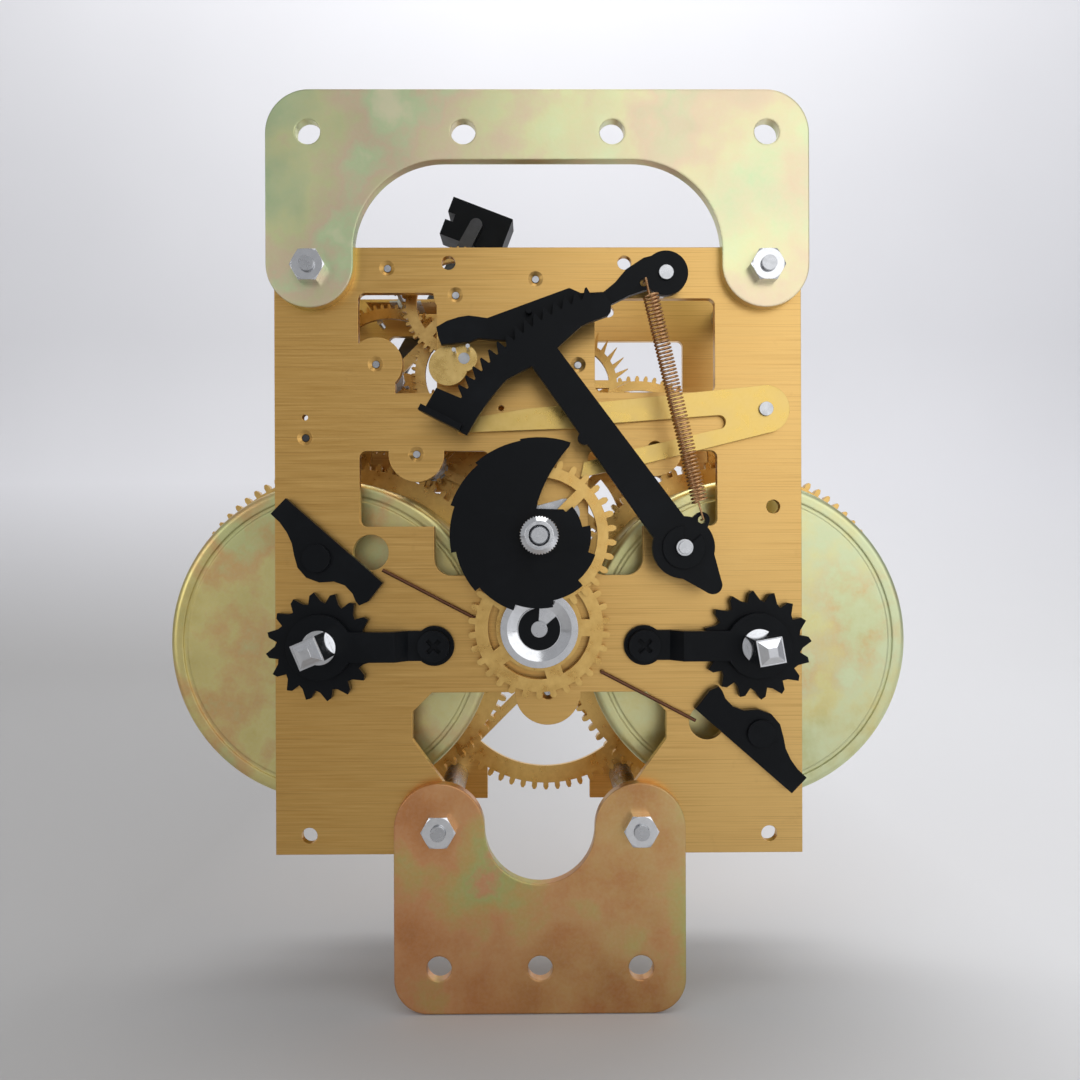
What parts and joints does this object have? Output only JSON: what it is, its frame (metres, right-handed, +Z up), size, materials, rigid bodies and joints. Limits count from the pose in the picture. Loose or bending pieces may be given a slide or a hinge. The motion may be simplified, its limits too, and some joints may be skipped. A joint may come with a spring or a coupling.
{
  "type": "clock movement",
  "caption": "Two-train spring clock movement between brass plates, with rack and snail striking, winding squares, hammer, verge and two mounting brackets.",
  "frame": {"origin": "on the hand-arbor axis, at the front face of the front plate", "axes": "+X to the right seen from the dial side, +Z up, -Y towards the dial"},
  "size_m": [0.1656, 0.0775, 0.1836],
  "materials": {
    "plate_brass": "brushed",
    "wheel_brass": "satin",
    "lever_brass": "satin",
    "olive_zinc": "yellow passivated zinc",
    "copper_zinc": "iridescent passivated zinc",
    "barrel_zinc": "yellow passivated zinc",
    "black_oxide": "satin black oxide",
    "nickel": "polished nickel",
    "steel": "turned",
    "copper_wire": "copper-coloured wire",
    "blued_wire": "dark tempered wire",
    "spring_steel": "tempered"
  },
  "bodies": {
    "frame": {"front_plate": "plate_brass", "rear_plate": "plate_brass", "pillars": "steel", "front_nuts": "nickel", "rear_nuts": "nickel", "top_bracket": "olive_zinc", "bottom_bracket": "copper_zinc", "time_click_spring": "blued_wire", "strike_click_spring": "blued_wire", "time_bridge": "black_oxide", "strike_bridge": "black_oxide", "bridge_screws": "black_oxide", "click_rivets": "black_oxide", "back_cock": "wheel_brass", "front_studs": "steel", "stud_clips": "black_oxide", "minute_dish": "nickel", "rack_spring": "copper_wire"},
    "time_barrel": {"time_drum": "barrel_zinc", "time_great_wheel": "wheel_brass", "time_barrel_cap": "barrel_zinc", "time_mainspring": "spring_steel"},
    "time_winding": {"time_winding_arbor": "nickel", "time_ratchet": "black_oxide"},
    "time_click": {"time_click": "black_oxide"},
    "strike_barrel": {"strike_drum": "barrel_zinc", "strike_great_wheel": "wheel_brass", "strike_barrel_cap": "barrel_zinc", "strike_mainspring": "spring_steel"},
    "strike_winding": {"strike_winding_arbor": "nickel", "strike_ratchet": "black_oxide"},
    "strike_click": {"strike_click": "black_oxide"},
    "second": {"second_arbor": "steel", "second_wheel": "wheel_brass"},
    "minute": {"centre_arbor": "steel", "centre_wheel": "wheel_brass", "cannon_pinion": "steel", "hand_nut": "nickel"},
    "third": {"third_arbor": "steel", "third_wheel": "wheel_brass"},
    "escape": {"escape_arbor": "steel", "escape_wheel": "wheel_brass"},
    "verge": {"verge_arbor": "steel", "anchor": "steel", "crutch": "steel"},
    "minute_wheel": {"minute_wheel": "wheel_brass"},
    "hour": {"hour_wheel": "wheel_brass", "snail": "black_oxide"},
    "rack": {"rack": "black_oxide"},
    "rack_hook": {"rack_hook": "black_oxide"},
    "lifting_lever": {"lifting_lever": "lever_brass"},
    "gathering": {"gathering_wheel": "wheel_brass", "gathering_pallet": "wheel_brass"},
    "strike_second": {"strike_second_wheel": "wheel_brass"},
    "pin_wheel": {"pin_wheel": "wheel_brass", "strike_pins": "steel"},
    "warning": {"warning_wheel": "wheel_brass"},
    "fly": {"fly": "wheel_brass"},
    "hammer": {"hammer_arbor": "steel", "hammer_head": "black_oxide"}
  },
  "joints": [
    {"name": "time_barrel_turn", "type": "hinge", "parent": "frame", "child": "time_barrel", "pos_m": [0.0435, 0, -0.022], "axis": [0, -1, 0], "continuous": true},
    {"name": "time_winding_turn", "type": "hinge", "parent": "frame", "child": "time_winding", "pos_m": [0.0435, 0, -0.022], "axis": [0, -1, 0], "continuous": true},
    {"name": "time_click_lift", "type": "hinge", "parent": "frame", "child": "time_click", "pos_m": [0.0442, 0, -0.0396], "axis": [0, -1, 0], "range_deg": [0, 5], "stiffness_Nm_per_rad": 0.02, "springref_deg": -11.46},
    {"name": "strike_barrel_turn", "type": "hinge", "parent": "frame", "child": "strike_barrel", "pos_m": [-0.0435, 0, -0.022], "axis": [0, -1, 0], "continuous": true},
    {"name": "strike_winding_turn", "type": "hinge", "parent": "frame", "child": "strike_winding", "pos_m": [-0.0435, 0, -0.022], "axis": [0, -1, 0], "continuous": true},
    {"name": "strike_click_lift", "type": "hinge", "parent": "frame", "child": "strike_click", "pos_m": [-0.0442, 0, -0.0044], "axis": [0, -1, 0], "range_deg": [0, 5], "stiffness_Nm_per_rad": 0.02, "springref_deg": -11.46},
    {"name": "second_turn", "type": "hinge", "parent": "frame", "child": "second", "pos_m": [0.0017, 0, -0.0315], "axis": [0, -1, 0], "continuous": true},
    {"name": "minute_turn", "type": "hinge", "parent": "frame", "child": "minute", "pos_m": [0, 0, 0], "axis": [0, -1, 0], "continuous": true},
    {"name": "third_turn", "type": "hinge", "parent": "frame", "child": "third", "pos_m": [0.0235, 0, 0.0175], "axis": [0, -1, 0], "continuous": true},
    {"name": "escape_turn", "type": "hinge", "parent": "frame", "child": "escape", "pos_m": [0.008, 0, 0.0344], "axis": [0, -1, 0], "continuous": true},
    {"name": "verge_swing", "type": "hinge", "parent": "frame", "child": "verge", "pos_m": [-0.0005, 0, 0.0517], "axis": [0, -1, 0], "range_deg": [-3, 3]},
    {"name": "minute_wheel_turn", "type": "hinge", "parent": "frame", "child": "minute_wheel", "pos_m": [0, 0, -0.0183], "axis": [0, -1, 0], "continuous": true},
    {"name": "hour_turn", "type": "hinge", "parent": "frame", "child": "hour", "pos_m": [0, 0, 0], "axis": [0, -1, 0], "continuous": true},
    {"name": "rack_fall", "type": "hinge", "parent": "frame", "child": "rack", "pos_m": [0.02768, 0, -0.00238], "axis": [0, -1, 0], "range_deg": [0, 28], "deforming": ["rack_spring"]},
    {"name": "rack_hook_lift", "type": "hinge", "parent": "frame", "child": "rack_hook", "pos_m": [0.0247, 0, 0.0507], "axis": [0, -1, 0], "range_deg": [-5, 0], "stiffness_Nm_per_rad": 0.05, "springref_deg": 17.19},
    {"name": "lever_lift", "type": "hinge", "parent": "frame", "child": "lifting_lever", "pos_m": [0.0455, 0, 0.0252], "axis": [0, -1, 0], "range_deg": [-6, 0], "stiffness_Nm_per_rad": 0.05, "springref_deg": 11.46},
    {"name": "gathering_turn", "type": "hinge", "parent": "frame", "child": "gathering", "pos_m": [-0.0145, 0, 0.0346], "axis": [0, -1, 0], "continuous": true},
    {"name": "strike_second_turn", "type": "hinge", "parent": "frame", "child": "strike_second", "pos_m": [-0.02457, 0, 0.01646], "axis": [0, -1, 0], "continuous": true},
    {"name": "pin_wheel_turn", "type": "hinge", "parent": "frame", "child": "pin_wheel", "pos_m": [-0.0327, 0, 0.0346], "axis": [0, -1, 0], "continuous": true},
    {"name": "warning_turn", "type": "hinge", "parent": "frame", "child": "warning", "pos_m": [-0.0166, 0, 0.0485], "axis": [0, -1, 0], "continuous": true},
    {"name": "fly_turn", "type": "hinge", "parent": "frame", "child": "fly", "pos_m": [-0.0303, 0, 0.0539], "axis": [0, -1, 0], "continuous": true},
    {"name": "hammer_swing", "type": "hinge", "parent": "frame", "child": "hammer", "pos_m": [-0.0469, 0, 0.0198], "axis": [0, -1, 0], "range_deg": [-2, 18], "stiffness_Nm_per_rad": 0.1, "springref_deg": -6.88}
  ],
  "couplings": [
    {"joint": "minute_turn", "follows": "third_turn", "ratio": -0.125},
    {"joint": "second_turn", "follows": "third_turn", "ratio": 0.015625},
    {"joint": "time_barrel_turn", "follows": "third_turn", "ratio": -0.0017361},
    {"joint": "escape_turn", "follows": "third_turn", "ratio": -6},
    {"joint": "minute_wheel_turn", "follows": "third_turn", "ratio": 0.041667},
    {"joint": "hour_turn", "follows": "third_turn", "ratio": -0.010417},
    {"joint": "fly_turn", "follows": "warning_turn", "ratio": -3.4286},
    {"joint": "gathering_turn", "follows": "warning_turn", "ratio": -0.14286},
    {"joint": "pin_wheel_turn", "follows": "warning_turn", "ratio": 0.017857},
    {"joint": "strike_second_turn", "follows": "warning_turn", "ratio": -0.0022321},
    {"joint": "strike_barrel_turn", "follows": "warning_turn", "ratio": 0.00024802}
  ]
}
